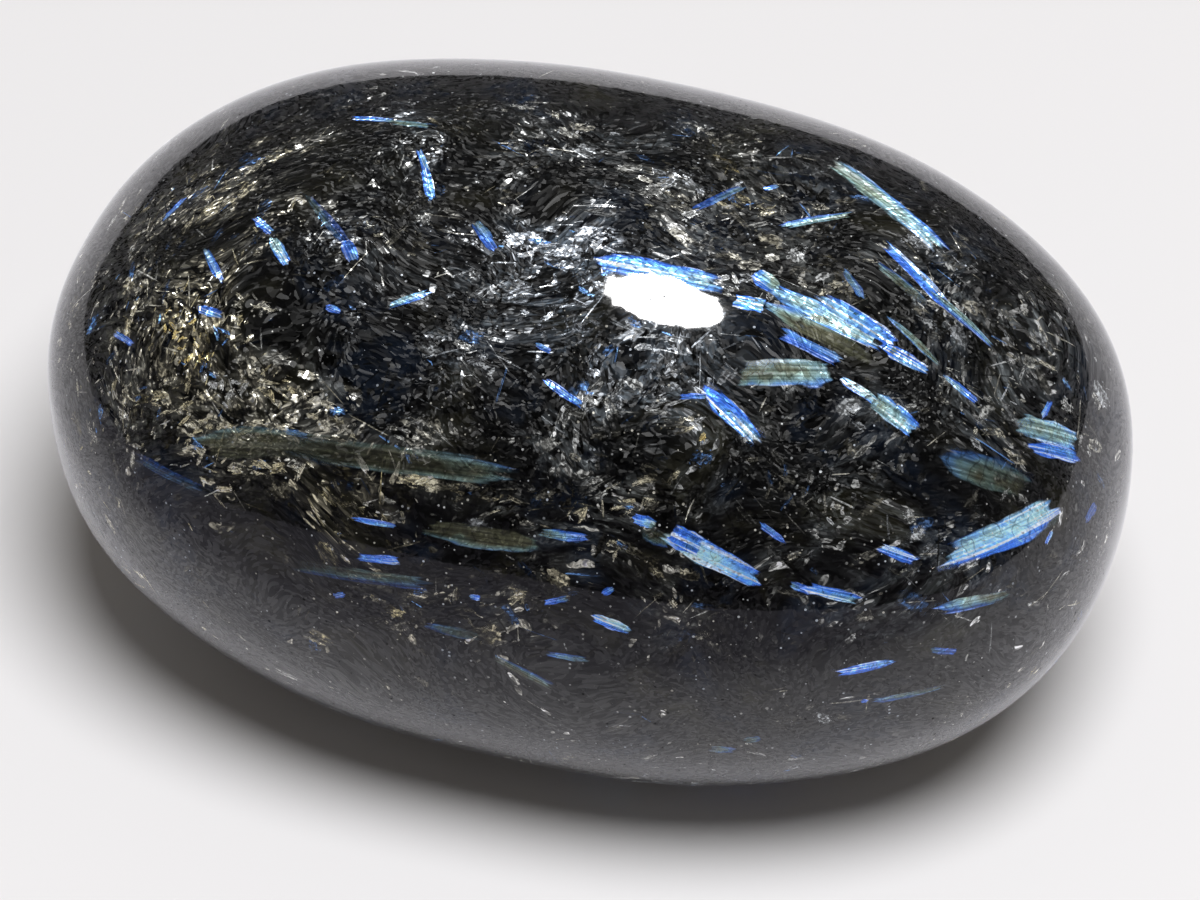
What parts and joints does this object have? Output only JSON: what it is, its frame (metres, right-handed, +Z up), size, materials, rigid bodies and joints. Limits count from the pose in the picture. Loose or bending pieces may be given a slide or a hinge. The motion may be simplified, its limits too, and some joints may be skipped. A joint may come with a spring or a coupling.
{
  "type": "polished nuummite stone",
  "caption": "Smooth polished pebble of dark stone with blue flashing blades; a palm stone that rests on a small flat on its belly.",
  "frame": {"origin": "under the middle of the stone, on the surface that it rests on", "axes": "+X along the stone's length, +Y across its width, +Z up from the resting flat to the crown"},
  "size_m": [0.045, 0.0296, 0.0243],
  "materials": {
    "nuummite": "high gloss polish, near black, with blue and pale green-grey iridescent blades and fine beige needles"
  },
  "bodies": {
    "root": {"nuummite_stone": "nuummite"}
  },
  "joints": []
}
